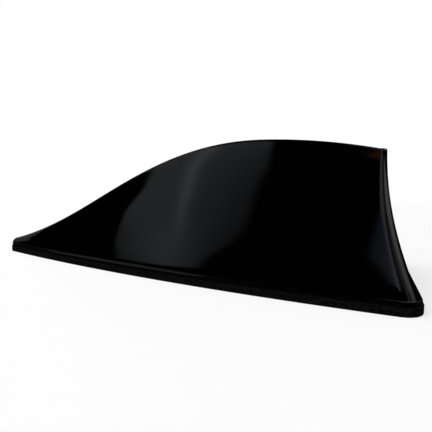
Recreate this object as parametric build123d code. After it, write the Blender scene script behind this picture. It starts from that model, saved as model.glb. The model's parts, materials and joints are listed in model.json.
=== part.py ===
from build123d import *
import math
import os

# Shark fin aerial for a car roof, in millimetres: nose towards -X, tail towards +X, roof surface at Z = 0.

# Outline on the roof, round the foot of the rubber seal
base_length = 170.0
base_width = 65.4
nose_radius = 3.8
corner_radius = 5.8
side_bow_radius = 750.0

# Ridge of the fin, seen from the side
nose_height = 5.4
nose_slope = 0.24
nose_handle = 45.0  # length over which the ridge keeps the slope of the nose
crown_handle = 47.0  # length over which it comes level before the peak
peak_share = 0.203  # place of the peak behind the middle, as a share of the length
peak_height = 48.3
crown_radius = 206.0  # ridge behind the peak
crown_turn = 22.0  # degrees of that arc, which ends behind the tail
nose_round = 3.0  # blunt front of the fin, above the rim
nose_lean = 45.0  # degrees through which the blunt front bends back before it meets the ridge

# Crown: the strip along the ridge, with round shoulders towards the walls
ridge_round = 1.0
crease = 15.0  # degrees by which the walls are steeper than the shoulders
least_lean = 5.0
shoulder_run = 1.5  # straight run beyond a shoulder, which lies clear of the wall
crown_stops = (0.0, 0.1, 0.2, 0.32, 0.45, 0.58, 0.7, 0.82, 0.92, 1.0)  # shares of the ridge's front curve
crown_rear_steps = 3
crown_tail_gap = 1.0

# Flared walls of the fin, drawn as level sections from the rim to above the peak
top_half_width = 4.8
top_corner_radius = 2.0
top_tip_radius = 1.5
base_tip_radius = 0.9
tail_sweep = 9.4  # how far the top of the tail lies ahead of its foot
flare_power = 1.8
tail_sweep_power = 2.25
tip_lead = 3.5  # a section's tip lies this far ahead of the ridge, which trims it
base_tip_lead = 5.0  # and the lowest one's this far ahead of the nose
section_stops = (0.1, 0.25, 0.4, 0.55, 0.7)  # shares of the ridge's front curve
top_margin = 1.0  # height of the last section above the peak

# Cover
wall = 2.0
rim_height = 1.5
rim_lip = 1.1  # step between the wall's foot and the rim's edge
rim_round = 0.5
rim_overlap = 0.5  # how far the walls run down into the rim
cavity_tip_radius = 0.8
tip_setback = 3.5  # a hollow's tip lies this many wall thicknesses behind the outer one
inner_ridge_start = 0.03  # share of the ridge's front curve at which a hollow begins
inner_ridge_steps = 12  # points that guide the ridge of a hollow
rib_share = -0.147
rib_thickness = 1.4
rib_bottom = 10.0

# Seal, adhesive pad and base plate
seal_height = 2.5
seal_proud = 0.3
seal_seat = 2.6  # width of the seal under the plate's flange
seal_gap = 0.2
pad_thickness = 1.0
pad_setback = 0.4
flange_thickness = 1.5
plate_gap = 0.25
small_nose_radius = 1.2

# Cover screws, driven up from below
screw_shank = 2.5
screw_length = 8.0
screw_head = 5.0
screw_head_height = 1.6
screw_web = 1.2  # plate left above the head
head_gap = 0.3
hole_gap = 0.25
pilot_gap = 0.05
pilot_spare = 1.0
boss_diameter = 6.0
nose_screw_share = -0.33  # places along the aerial, as shares of its length
mid_screw_share = 0.165
tail_screw_share = 0.388
mid_screw_spread = 0.206  # places across it, as shares of its width
tail_screw_spread = 0.268

# Circuit board on its posts
board_length = 54.0
board_width = 17.0
board_thickness = 1.2
board_corner = 2.0
post_height = 3.0
post_diameter = 5.0
board_screw_inset = 4.0
board_screw_y = 5.8
small_shank = 1.8
small_head = 3.8
small_head_height = 1.2
small_screw_length = 4.0

# Upright blade and the sheet-metal element over its top edge
blade_thickness = 1.6
blade_gap = 3.5  # from the cover's inner ridge
blade_front_share = -0.082
blade_rear_share = 0.382
blade_leg = 5.0
blade_beam = 9.0
foot_length = 13.0
foot_width = 9.0
foot_thickness = 2.0
foot_screw_inset = 4.0
sheet = 0.4
skirt = 5.0
element_setback = 4.0

# Loading coil
coil_place = 42.0  # from the board's front edge, as are the places of the board's other parts
former_core = 6.4
former_flange = 10.0
former_flange_thickness = 1.2
former_height = 16.0
former_bore = 2.5
winding = 1.0
clip_width = 4.0
clip_overlap = 2.5
clip_pad = 6.0

# Parts on the board
can_place = 20.0
can_length = 15.0
can_width = 12.0
can_height = 4.0
can_corner = 1.0
chip_length = 6.0
chip_width = 4.4
chip_height = 1.4
chip_stand_off = 0.2
chip_lead_pitch = 1.27
chip_lead_width = 0.4
chip_lead_reach = 0.9
chip_leads_per_side = 4
choke_place = 31.0
choke_y = 5.0
choke_diameter = 5.0
choke_waist = 3.4
choke_height = 3.6
choke_lip = 0.8
capacitor_place = 35.2
capacitor_y = 6.8
capacitor_pitch = 2.8
capacitor_length = 2.0
capacitor_width = 1.25
capacitor_height = 1.0
terminal_place = 8.8
terminal_length = 4.5
terminal_width = 4.4
terminal_sheet = 0.5
terminal_ear = 3.0

# Lead port
port_share = -0.26
port_diameter = 8.0
grommet_flange = 10.8
grommet_flange_thickness = 1.2
grommet_foot_thickness = 0.8
grommet_bore = 3.2
pad_port_gap = 0.6

# Levels and insets worked out from the sizes above
rim_top = seal_height + rim_height
wall_foot = rim_top - rim_overlap
plate_top = seal_height + flange_thickness
head_seat = plate_top - screw_web
post_top = plate_top + post_height
board_top = post_top + board_thickness
foot_top = plate_top + foot_thickness
fin_inset = seal_proud + rim_lip
plate_inset = fin_inset + wall + plate_gap
core_inset = plate_inset + seal_seat
blade_inset = wall + blade_gap
nose_x = -base_length / 2
tail_x = base_length / 2
tail_top_x = tail_x - tail_sweep
peak_x = peak_share * base_length
port_x = port_share * base_length
nose_screw_x = nose_screw_share * base_length
mid_screw_x = mid_screw_share * base_length
mid_screw_y = mid_screw_spread * base_width
tail_screw_x = tail_screw_share * base_length
tail_screw_y = tail_screw_spread * base_width
blade_front = blade_front_share * base_length
blade_rear = blade_rear_share * base_length
board_front = (blade_front + blade_rear - board_length) / 2
coil_x = board_front + coil_place
cover_screw_spots = [
    (nose_screw_x, 0),
    (mid_screw_x, mid_screw_y),
    (mid_screw_x, -mid_screw_y),
    (tail_screw_x, tail_screw_y),
    (tail_screw_x, -tail_screw_y),
]
board_rear = board_front + board_length
board_screw_spots = [
    (board_front + board_screw_inset, 0),
    (board_rear - board_screw_inset, board_screw_y),
    (board_rear - board_screw_inset, -board_screw_y),
]
front_foot_x = blade_front + blade_leg - foot_length / 2
rear_foot_x = blade_rear - blade_leg + foot_length / 2
foot_screw_spots = [
    (front_foot_x - foot_length / 2 + foot_screw_inset, 0),
    (rear_foot_x + foot_length / 2 - foot_screw_inset, 0),
]
ON_FLOOR = (Align.CENTER, Align.CENTER, Align.MIN)
FROM_TOP = (Align.CENTER, Align.CENTER, Align.MAX)


def bow_centre(nose, tip_radius, corner, corner_r):
    """Centre of the side arc that is tangent to the circle at the tip and the circle at the tail corner."""
    gap = (corner - nose).length
    along = (corner - nose) / gap
    across = Vector(along.Y, -along.X)
    from_nose = side_bow_radius - tip_radius
    from_corner = side_bow_radius - corner_r
    step = (from_nose**2 - from_corner**2 + gap**2) / (2 * gap)
    return nose + along * step + across * math.sqrt(from_nose**2 - step**2)


def wedge(tip, tip_radius, half_width, tail, corner_r, z):
    """Level section: round tip, bowed sides, round tail corners and a straight tail."""
    nose = Vector(tip + tip_radius, 0)
    corner = Vector(tail - corner_r, half_width - corner_r)
    centre = bow_centre(nose, tip_radius, corner, corner_r)
    to_nose = (nose - centre).normalized()
    to_corner = (corner - centre).normalized()
    side_start = nose + to_nose * tip_radius
    side_middle = centre + (to_nose + to_corner).normalized() * side_bow_radius
    side_end = corner + to_corner * corner_r
    bend_middle = corner + (to_corner + Vector(1, 0)).normalized() * corner_r
    bend_end = Vector(tail, corner.Y)

    def flip(point):
        return Vector(point.X, -point.Y)

    edges = [
        ThreePointArc(flip(side_start), (tip, 0), side_start),
        ThreePointArc(side_start, side_middle, side_end),
        ThreePointArc(side_end, bend_middle, bend_end),
        Line(bend_end, flip(bend_end)),
        ThreePointArc(flip(bend_end), flip(bend_middle), flip(side_end)),
        ThreePointArc(flip(side_end), flip(side_middle), flip(side_start)),
    ]
    return Pos(0, 0, z) * make_face(edges)


def outline(inset, z):
    """Base outline moved inwards, with its nose pulled back along the taper of the sides."""
    nose = Vector(nose_x + nose_radius, 0)
    corner = Vector(tail_x - corner_radius, base_width / 2 - corner_radius)
    centre = bow_centre(nose, nose_radius, corner, corner_radius)
    taper = (centre - nose).normalized().X
    tip_radius = max(nose_radius - inset, small_nose_radius)
    corner_r = max(corner_radius - inset, small_nose_radius)
    middle = nose.X + (inset + tip_radius - nose_radius) / taper
    return wedge(middle - tip_radius, tip_radius, base_width / 2 - inset, tail_x - inset, corner_r, z)


ridge_front = Bezier(
    (nose_x, nose_height),
    (nose_x + nose_handle, nose_height + nose_handle * nose_slope),
    (peak_x - crown_handle, peak_height),
    (peak_x, peak_height),
)


def ridge_rear_height(x):
    """Height of the ridge behind the peak."""
    return peak_height - crown_radius + math.sqrt(crown_radius**2 - (x - peak_x) ** 2)


def side_profile(inset):
    """Side view of what lies under the ridge, at an even distance inside it."""
    points = []
    for step in range(inner_ridge_steps + 1):
        stop = inner_ridge_start + (1 - inner_ridge_start) * step / inner_ridge_steps
        along = ridge_front % stop
        points.append(ridge_front @ stop + Vector(along.Y, -along.X) * inset)
    front = Spline(points, tangents=(ridge_front % inner_ridge_start, ridge_front % 1.0))
    rear = CenterArc((peak_x, peak_height - crown_radius), crown_radius - inset, 90, -crown_turn)
    front_foot = Vector(points[0].X, -peak_height)
    rear_foot = Vector((rear @ 1).X, -peak_height)
    edges = [
        front,
        rear,
        Line(rear @ 1, rear_foot),
        Line(rear_foot, front_foot),
        Line(front_foot, points[0]),
    ]
    return make_face(edges)


def slab(sketch, y_low, y_high):
    """A side-view sketch given its thickness across the aerial."""
    return extrude(Plane.XZ.offset(-y_high) * sketch, amount=y_high - y_low)


def fin_section(z, tip, inset):
    """Level section of the fin's walls: the flare widens it and sweeps its tail back towards the rim."""
    below = max(0.0, (peak_height - z) / (peak_height - rim_top))
    base_half_width = base_width / 2 - fin_inset
    base_tail = tail_x - fin_inset
    base_corner = corner_radius - fin_inset
    half_width = top_half_width + (base_half_width - top_half_width) * below**flare_power
    tail = tail_top_x + (base_tail - tail_top_x) * below**tail_sweep_power
    corner_r = top_corner_radius + (base_corner - top_corner_radius) * below
    tip_radius = top_tip_radius + (base_tip_radius - top_tip_radius) * below
    if inset:
        tip += inset * tip_setback
        tip_radius = cavity_tip_radius
        corner_r = max(corner_r - inset, cavity_tip_radius)
    return wedge(tip, tip_radius, half_width - inset, tail - inset, corner_r, z)


def fin_walls(inset):
    """Walls lofted through the level sections, to above the peak."""
    sections = [fin_section(wall_foot, nose_x - base_tip_lead, inset)]
    for stop in section_stops:
        point = ridge_front @ stop
        sections.append(fin_section(point.Y, point.X - tip_lead, inset))
    last = ridge_front @ section_stops[-1]
    rise = ridge_front % section_stops[-2]
    top = peak_height + top_margin
    top_tip = last.X - tip_lead + (top - last.Y) * rise.X / rise.Y
    sections.append(fin_section(top, top_tip, inset))
    return loft(sections)


def crown_section(x, z, half_width, lean):
    """Upright section of the body that trims the ridge: flat strip with round shoulders."""
    flat = half_width - ridge_round * math.tan(lean / 2)

    def shoulder(angle):
        return Vector(flat + ridge_round * math.sin(angle), z - ridge_round * (1 - math.cos(angle)))

    clear = shoulder(lean) + Vector(math.cos(lean), -math.sin(lean)) * shoulder_run
    outside = Vector(base_width, clear.Y)
    foot = Vector(base_width, -peak_height)
    right = [shoulder(0), shoulder(lean / 2), shoulder(lean), clear, outside, foot]
    left = [Vector(-point.X, point.Y) for point in right]
    edges = [
        Line(left[0], right[0]),
        ThreePointArc(right[0], right[1], right[2]),
        Line(right[2], right[3]),
        Line(right[3], right[4]),
        Line(right[4], right[5]),
        Line(right[5], left[5]),
        Line(left[5], left[4]),
        Line(left[4], left[3]),
        Line(left[3], left[2]),
        ThreePointArc(left[2], left[1], left[0]),
    ]
    return Plane.YZ.offset(x) * make_face(edges)


def crown(walls):
    """Body under the ridge, whose shoulders follow the width and steepness of the walls along the fin."""
    points = [ridge_front @ stop for stop in crown_stops]
    for step in range(crown_rear_steps):
        x = peak_x + (tail_top_x - crown_tail_gap - peak_x) * (step + 1) / crown_rear_steps
        points.append(Vector(x, ridge_rear_height(x)))
    sections = []
    for point in points:
        hits = walls.find_intersection_points(Axis((point.X, 0, point.Y), (0, 1, 0)))
        edge, normal = max(hits, key=lambda hit: hit[0].Y)
        steepness = math.atan2(normal.Y, normal.Z)
        lean = max(steepness - math.radians(crease), math.radians(least_lean))
        sections.append(crown_section(point.X, point.Y, edge.Y, lean))
    sections.append(crown_section(tail_x, ridge_rear_height(tail_x), edge.Y, lean))
    return loft(sections)


def blunt_nose():
    """Body behind the rounded front of the fin."""
    foot = Vector(nose_x + fin_inset, rim_top)
    bend = JernArc(foot, (0, 1), nose_round, -nose_lean)
    top = (bend @ 1) + (bend % 1) * base_length
    low = Vector(foot.X, -peak_height)
    far = Vector(base_length, top.Y)
    far_low = Vector(base_length, -peak_height)
    edges = [
        bend,
        Line(bend @ 1, top),
        Line(top, far),
        Line(far, far_low),
        Line(far_low, low),
        Line(low, foot),
    ]
    return slab(make_face(edges), -base_width, base_width)


def hollow(inset):
    """Space inside the fin's walls and ridge."""
    return fin_walls(inset) & slab(side_profile(inset), -base_width, base_width)


def cylinder_at(spot, z, radius, height, align=ON_FLOOR):
    """Upright cylinder on a spot of the plan."""
    return Pos(spot[0], spot[1], z) * Cylinder(radius, height, align=align)


def box_at(x, y, z, length, width, height):
    """Box standing at a height, centred on a spot of the plan."""
    return Pos(x, y, z) * Box(length, width, height, align=ON_FLOOR)


def make_fin_cover():
    """Moulded fin with its rim, hollow from below, with screw bosses and a cross rib inside."""
    walls = fin_walls(0.0)
    skin = walls & crown(walls) & blunt_nose()
    rim = extrude(outline(seal_proud, seal_height), amount=rim_height)
    rim = fillet(rim.faces().sort_by(Axis.Z)[-1].edges(), rim_round)
    cavity = hollow(wall)
    mouth = extrude(cavity.faces().sort_by(Axis.Z)[0], amount=wall_foot - seal_height, dir=(0, 0, -1))
    inside = hollow(wall / 2)
    bosses = Part()
    for spot in cover_screw_spots:
        bosses += cylinder_at(spot, plate_top, boss_diameter / 2, peak_height)
    rib = box_at(rib_share * base_length, 0, rib_bottom, rib_thickness, base_width, peak_height)
    cover = skin + rim - cavity - mouth + (bosses & inside) + (rib & inside)
    pilot_depth = screw_length - screw_web + pilot_spare
    for spot in cover_screw_spots:
        cover -= cylinder_at(spot, plate_top, screw_shank / 2 + pilot_gap, pilot_depth)
    return cover


def make_base_seal():
    """Rubber ring between the rim, the plate's flange and the roof."""
    ring = extrude(outline(0, 0), amount=seal_height)
    return ring - extrude(outline(core_inset - seal_gap, 0), amount=seal_height)


def make_adhesive_pad():
    """Foam tape under the plate, open round the lead port."""
    pad = extrude(outline(core_inset + pad_setback, 0), amount=pad_thickness)
    return pad - cylinder_at((port_x, 0), 0, grommet_flange / 2 + pad_port_gap, pad_thickness)


def make_base_plate():
    """Floor of the aerial: stepped edge over the seal, screw pockets, board posts and lead port."""
    plate = extrude(outline(core_inset, pad_thickness), amount=seal_height - pad_thickness)
    plate += extrude(outline(plate_inset, seal_height), amount=flange_thickness)
    for spot in board_screw_spots:
        plate += cylinder_at(spot, plate_top, post_diameter / 2, post_height)
    for spot in board_screw_spots:
        plate -= cylinder_at(spot, post_top, small_shank / 2 + pilot_gap, small_screw_length, FROM_TOP)
    for spot in foot_screw_spots:
        plate -= cylinder_at(spot, foot_top, small_shank / 2 + pilot_gap, small_screw_length, FROM_TOP)
    for spot in cover_screw_spots:
        plate -= cylinder_at(spot, 0, screw_head / 2 + head_gap, head_seat)
        plate -= cylinder_at(spot, 0, screw_shank / 2 + hole_gap, plate_top)
    return plate - cylinder_at((port_x, 0), 0, port_diameter / 2, plate_top)


def make_cover_screws():
    """Pan-head screws, head down in the plate's pockets."""
    screws = []
    for spot in cover_screw_spots:
        head = cylinder_at(spot, head_seat, screw_head / 2, screw_head_height, FROM_TOP)
        head = fillet(head.edges().sort_by(Axis.Z)[0], screw_head_height / 2)
        screws.append(head + cylinder_at(spot, head_seat, screw_shank / 2, screw_length))
    return Compound(children=screws)


def make_small_screws(spots, seat):
    """Pan-head screws, head up, that end short of their pilot holes."""
    screws = []
    for spot in spots:
        head = cylinder_at(spot, seat, small_head / 2, small_head_height)
        head = fillet(head.edges().sort_by(Axis.Z)[-1], small_head_height / 2)
        shank = small_screw_length - pilot_gap
        screws.append(head + cylinder_at(spot, seat, small_shank / 2, shank, FROM_TOP))
    return Compound(children=screws)


def make_circuit_board():
    """Board with rounded corners and its screw holes."""
    middle = board_front + board_length / 2
    sheet_outline = Pos(middle, 0, post_top) * RectangleRounded(board_length, board_width, board_corner)
    board = extrude(sheet_outline, board_thickness)
    for spot in board_screw_spots:
        board -= cylinder_at(spot, post_top, small_shank / 2 + hole_gap, board_thickness)
    return board


def between(x_low, x_high, z_low):
    """Side-view window that keeps a stretch of a profile."""
    middle = (x_low + x_high) / 2
    return Pos(middle, z_low) * Rectangle(x_high - x_low, peak_height, align=(Align.CENTER, Align.MIN))


def make_element_holder():
    """Upright blade that follows the ridge from inside: two legs, a beam and two screwed feet."""
    arch = side_profile(blade_inset) & between(blade_front, blade_rear, plate_top)
    opening = side_profile(blade_inset + blade_beam)
    opening = opening & between(blade_front + blade_leg, blade_rear - blade_leg, plate_top)
    holder = slab(arch - opening, -blade_thickness / 2, blade_thickness / 2)
    for foot_x in (front_foot_x, rear_foot_x):
        holder += box_at(foot_x, 0, plate_top, foot_length, foot_width, foot_thickness)
    for spot in foot_screw_spots:
        holder -= cylinder_at(spot, plate_top, small_shank / 2 + hole_gap, foot_thickness)
    return holder


def make_capacity_plate():
    """Sheet folded over the blade's top edge, with a skirt down each face."""
    stretch = between(blade_front + element_setback, blade_rear - element_setback, plate_top)
    half = blade_thickness / 2
    crest = (side_profile(blade_inset - sheet) - side_profile(blade_inset)) & stretch
    hem = (side_profile(blade_inset) - side_profile(blade_inset + skirt)) & stretch
    plate = slab(crest, -half - sheet, half + sheet)
    plate += slab(hem, half, half + sheet)
    plate += slab(hem, -half - sheet, -half)
    return plate


def make_coil_former():
    """Bobbin that stands on the board."""
    spool = cylinder_at((coil_x, 0), board_top, former_core / 2, former_height)
    for z in (board_top, board_top + former_height - former_flange_thickness):
        spool += cylinder_at((coil_x, 0), z, former_flange / 2, former_flange_thickness)
    return spool - cylinder_at((coil_x, 0), board_top, former_bore / 2, former_height)


def make_loading_coil():
    """Closely wound body between the bobbin's flanges."""
    low = board_top + former_flange_thickness
    space = former_height - 2 * former_flange_thickness
    coil = cylinder_at((coil_x, 0), low, former_core / 2 + winding, space)
    return coil - cylinder_at((coil_x, 0), low, former_core / 2, space)


def make_coil_clip():
    """Forked spring from the top of the bobbin up to both skirts of the element."""
    former_top = board_top + former_height
    skirt_face = blade_thickness / 2 + sheet
    skirt_foot = peak_height - blade_inset - skirt
    clip = box_at(coil_x, 0, former_top, clip_width, clip_pad, sheet)
    strip_height = skirt_foot + clip_overlap - former_top
    for side in (-1, 1):
        y = side * (skirt_face + sheet / 2)
        clip += box_at(coil_x, y, former_top, clip_width, sheet, strip_height)
    return clip


def make_amplifier_can():
    """Drawn shield, open towards the board."""
    spot = Pos(board_front + can_place, 0, board_top)
    can = extrude(spot * RectangleRounded(can_length, can_width, can_corner), can_height)
    hollow = RectangleRounded(can_length - 2 * sheet, can_width - 2 * sheet, can_corner - sheet)
    return can - extrude(spot * hollow, can_height - sheet)


def make_amplifier_chip():
    """Small package on two rows of leads."""
    low = board_top + chip_stand_off
    middle = board_front + can_place
    chip = box_at(middle, 0, low, chip_length, chip_width, chip_height)
    chip = chamfer(chip.faces().sort_by(Axis.Z)[-1].edges(), chip_stand_off)
    first = -(chip_leads_per_side - 1) * chip_lead_pitch / 2
    lead_height = chip_stand_off + chip_height / 2
    for side in (-1, 1):
        for index in range(chip_leads_per_side):
            x = middle + first + index * chip_lead_pitch
            y = side * (chip_width + chip_lead_reach) / 2
            chip += box_at(x, y, board_top, chip_lead_width, chip_lead_reach, lead_height)
    return chip


def make_filter_coils():
    """Pair of drum chokes."""
    drums = []
    for side in (-1, 1):
        spot = (board_front + choke_place, side * choke_y)
        drum = cylinder_at(spot, board_top, choke_waist / 2, choke_height)
        for z in (board_top, board_top + choke_height - choke_lip):
            drum += cylinder_at(spot, z, choke_diameter / 2, choke_lip)
        drums.append(drum)
    return Compound(children=drums)


def make_filter_capacitors():
    """Chip capacitors in two rows."""
    chips = []
    for side in (-1, 1):
        for step in (0, 1):
            x = board_front + capacitor_place + step * capacitor_pitch
            y = side * capacitor_y
            chip = box_at(x, y, board_top, capacitor_length, capacitor_width, capacitor_height)
            chips.append(chip)
    return Compound(children=chips)


def make_lead_terminal():
    """Folded clamp, open upwards, for the end of the lead."""
    middle = board_front + terminal_place
    clamp = box_at(middle, 0, board_top, terminal_length, terminal_width, terminal_ear)
    inside = terminal_width - 2 * terminal_sheet
    return clamp - box_at(middle, 0, board_top + terminal_sheet, terminal_length, inside, terminal_ear)


def make_lead_grommet():
    """Rubber bush, its waist in the plate's port."""
    spot = (port_x, 0)
    low = pad_thickness - grommet_foot_thickness
    bush = cylinder_at(spot, pad_thickness, port_diameter / 2, plate_top - pad_thickness)
    bush += cylinder_at(spot, low, grommet_flange / 2, grommet_foot_thickness)
    bush += cylinder_at(spot, plate_top, grommet_flange / 2, grommet_flange_thickness)
    return bush - cylinder_at(spot, low, grommet_bore / 2, plate_top + grommet_flange_thickness)


pieces = {
    "fin_cover": make_fin_cover(),
    "base_seal": make_base_seal(),
    "adhesive_pad": make_adhesive_pad(),
    "base_plate": make_base_plate(),
    "cover_screws": make_cover_screws(),
    "circuit_board": make_circuit_board(),
    "board_screws": make_small_screws(board_screw_spots, board_top),
    "element_holder": make_element_holder(),
    "holder_screws": make_small_screws(foot_screw_spots, foot_top),
    "capacity_plate": make_capacity_plate(),
    "coil_former": make_coil_former(),
    "loading_coil": make_loading_coil(),
    "coil_clip": make_coil_clip(),
    "amplifier_can": make_amplifier_can(),
    "amplifier_chip": make_amplifier_chip(),
    "filter_coils": make_filter_coils(),
    "filter_capacitors": make_filter_capacitors(),
    "lead_terminal": make_lead_terminal(),
    "lead_grommet": make_lead_grommet(),
}
os.makedirs("parts", exist_ok=True)
for name, piece in pieces.items():
    export_step(piece, f"parts/{name}.step")
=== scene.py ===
# %% [markdown]
# Shark fin aerial
#
# The aerial stands on a car roof: a gloss black fin with a thin rim, on a band of matt rubber.
# Its solids come packed in one frame, in metres, nose towards -X, tail towards +X, roof at Z = 0.
# This lesson gives them their looks: a clean surface for the fin, finishes, a studio and a camera.
# The frame comes first, because each piece has to sit where its solid does.

# %% Load the frame
import json
import math
import bmesh
import bpy
import numpy as np
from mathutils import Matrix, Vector


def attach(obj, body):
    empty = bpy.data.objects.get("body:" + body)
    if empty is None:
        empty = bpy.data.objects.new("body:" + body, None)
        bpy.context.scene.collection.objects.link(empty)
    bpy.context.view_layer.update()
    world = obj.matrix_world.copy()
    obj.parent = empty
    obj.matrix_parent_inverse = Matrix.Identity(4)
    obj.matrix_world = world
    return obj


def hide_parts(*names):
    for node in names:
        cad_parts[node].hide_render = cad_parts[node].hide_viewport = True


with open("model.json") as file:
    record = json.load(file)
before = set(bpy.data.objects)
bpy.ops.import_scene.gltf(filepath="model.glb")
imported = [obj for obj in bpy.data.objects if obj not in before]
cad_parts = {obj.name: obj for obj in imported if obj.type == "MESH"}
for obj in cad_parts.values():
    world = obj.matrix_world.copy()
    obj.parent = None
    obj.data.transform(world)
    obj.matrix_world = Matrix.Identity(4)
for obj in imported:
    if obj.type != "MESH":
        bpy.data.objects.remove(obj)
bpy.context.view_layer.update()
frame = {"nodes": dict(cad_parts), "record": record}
nodes = frame["nodes"]
record = frame["record"]

# %% [markdown]
# One material for each finish
#
# The record lists the aerial's finishes, such as gloss plastic, rubber and zinc, as slots.
# A material could be made for each piece, but pieces of the same stuff should look alike.
# So each slot gets one material. It starts empty, and its nodes come when the shapes are there.

# %% Materials by slot
finishes = {entry["slot"]: bpy.data.materials.new(entry["slot"]) for entry in record["materials"]}
slot_of = {part["node"]: part["material_slot"] for part in record["subparts"]}
print("slots:", list(finishes))

# %% [markdown]
# Node maths as Python
#
# Finishes and shape rules are long sums, and wiring a Math node for each sign is slow to read.
# One small class wraps an output socket and overloads the operators, so a rule is written as it is said.
# The same class serves shader trees and Geometry Nodes, because both know the Math node.

# %% A socket that can be added and multiplied
class Wire:
    """An output socket of a node tree, with the operators of arithmetic."""

    def __init__(self, tree, socket):
        self.tree = tree
        self.socket = socket

    @staticmethod
    def make(tree, kind, settings=None, inputs=None, output=0):
        """Adds a node of a kind: settings first, then a value or a wire for each named or numbered input."""
        node = tree.nodes.new(kind)
        for name, value in (settings or {}).items():
            setattr(node, name, value)
        for key, value in (inputs or {}).items():
            if isinstance(value, Wire):
                tree.links.new(value.socket, node.inputs[key])
            else:
                node.inputs[key].default_value = value
        return Wire(tree, node.outputs[output]) if output is not None else None

    def other(self, output):
        """Another output of the same node."""
        return Wire(self.tree, self.socket.node.outputs[output])

    def math(self, operation, *others, clamp=False):
        settings = {"operation": operation, "use_clamp": clamp}
        return Wire.make(self.tree, "ShaderNodeMath", settings, dict(enumerate((self, *others))))

    def sign(operation, reflected=False):
        """The method for one sign of arithmetic, or for its reflected form, as in 1 - mask."""
        def method(self, other):
            sides = {0: other, 1: self} if reflected else {0: self, 1: other}
            return Wire.make(self.tree, "ShaderNodeMath", {"operation": operation}, sides)
        return method

    __add__ = __radd__ = sign("ADD")
    __mul__ = __rmul__ = sign("MULTIPLY")
    __sub__, __rsub__ = sign("SUBTRACT"), sign("SUBTRACT", True)
    __truediv__, __rtruediv__ = sign("DIVIDE"), sign("DIVIDE", True)
    __pow__, __rpow__ = sign("POWER"), sign("POWER", True)

    def held(self):
        """The value kept between 0 and 1."""
        return self.math("ADD", 0.0, clamp=True)

    def step(self, edge):
        """1 above an edge and 0 below it."""
        return self.math("GREATER_THAN", edge)

    def mix(self, other, share):
        """This value, or another one by its share."""
        return self + (other - self) * share

    def share(self, low, high):
        """A straight rise from 0 at a low value to 1 at a high one."""
        return ((self - low) / (high - low)).held()

    def ease(self, low, high):
        """A soft rise from 0 at a low value to 1 at a high one."""
        inputs = {"Value": self, "From Min": low, "From Max": high}
        return Wire.make(self.tree, "ShaderNodeMapRange", {"interpolation_type": "SMOOTHSTEP"}, inputs)


print("wire operators:", sorted(name for name in vars(Wire) if name.startswith("__")))

# %% [markdown]
# Sizes of the fin
#
# The solids were drawn from these sizes, in millimetres. The surface below follows the same rule,
# so the numbers are the same: the outline on the roof, the ridge and the flare of the walls.

# %% Sizes in millimetres
LENGTH, WIDTH, PEAK = 170.0, 65.4, 48.3
NOSE_X, TAIL_X = -LENGTH / 2, LENGTH / 2
NOSE_RADIUS, CORNER_RADIUS, BOW = 3.8, 5.8, 750.0
SEAL_HEIGHT, SEAL_PROUD, RIM_HEIGHT, RIM_LIP = 2.5, 0.3, 1.5, 1.1
RIM_TOP = SEAL_HEIGHT + RIM_HEIGHT
FIN_INSET = SEAL_PROUD + RIM_LIP
WALL = 2.0
WALL_FOOT = RIM_TOP - 0.5
PEAK_X = 0.203 * LENGTH
CROWN_RADIUS = 206.0
RIDGE_X = (NOSE_X, NOSE_X + 45.0, PEAK_X - 47.0, PEAK_X)
RIDGE_Z = (5.4, 5.4 + 45.0 * 0.24, PEAK, PEAK)
TOP_HALF, BASE_HALF = 4.8, WIDTH / 2 - FIN_INSET
TOP_TAIL, BASE_TAIL = TAIL_X - 9.4, TAIL_X - FIN_INSET
TOP_CORNER, BASE_CORNER = 2.0, CORNER_RADIUS - FIN_INSET
TOP_TIP, BASE_TIP = 1.5, 0.9
FLARE, SWEEP = 1.8, 2.25
MM = 0.001
print("fin from", NOSE_X + FIN_INSET, "to", BASE_TAIL, "mm, walls up from", WALL_FOOT, "mm")

# %% [markdown]
# The fin's surface, made by its rule
#
# A gloss black skin shows every ripple, so it wants an even net of quads and not the solid's long triangles.
# The net could be modelled by hand, but the fin follows a rule: at each height the outline is a round nose,
# a bowed side, a round tail corner and a straight tail, and the ridge trims it from above.
# So Geometry Nodes bend a flat grid by that rule. Columns run round one half from nose to tail,
# and rows run up the wall, over the rounded edge and across the crown. The other half is its mirror image.

# %% Where the outline's tip lies at each height
TIP_LEAD, FOOT_LEAD, ABOVE_PEAK = 3.5, 5.0, 1.0
SECTIONS = (0.1, 0.25, 0.4, 0.55, 0.7)
SLOPE_FROM, SLOPE_TO = 0.549, 0.551


def cubic(t, stops):
    """One coordinate of a Bezier curve, for a number or for a wire."""
    rest = 1 - t
    start = rest * rest * rest * stops[0] + rest * rest * t * (3 * stops[1])
    return start + rest * t * t * (3 * stops[2]) + t * t * t * stops[3]


def tip_rule():
    """Polynomial of the tip's place over the height, through the heights at which the solid was drawn."""
    heights = [WALL_FOOT] + [cubic(t, RIDGE_Z) for t in SECTIONS]
    tips = [NOSE_X - FOOT_LEAD] + [cubic(t, RIDGE_X) - TIP_LEAD for t in SECTIONS]
    run = cubic(SLOPE_TO, RIDGE_X) - cubic(SLOPE_FROM, RIDGE_X)
    rise = cubic(SLOPE_TO, RIDGE_Z) - cubic(SLOPE_FROM, RIDGE_Z)
    tips.append(tips[-1] + (PEAK + ABOVE_PEAK - heights[-1]) * run / rise)
    heights.append(PEAK + ABOVE_PEAK)
    return np.polyfit(heights, tips, 5)


def tip_at(z):
    """The tip's place at a height, for a wire."""
    tip = z * float(TIP[0]) + float(TIP[1])
    for factor in TIP[2:]:
        tip = tip * z + float(factor)
    return tip


TIP = tip_rule()
print("tip at the rim and the peak:", np.polyval(TIP, [RIM_TOP, PEAK]).round(1))

# %% Height of the ridge
NEWTON_STEPS = 4


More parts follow.
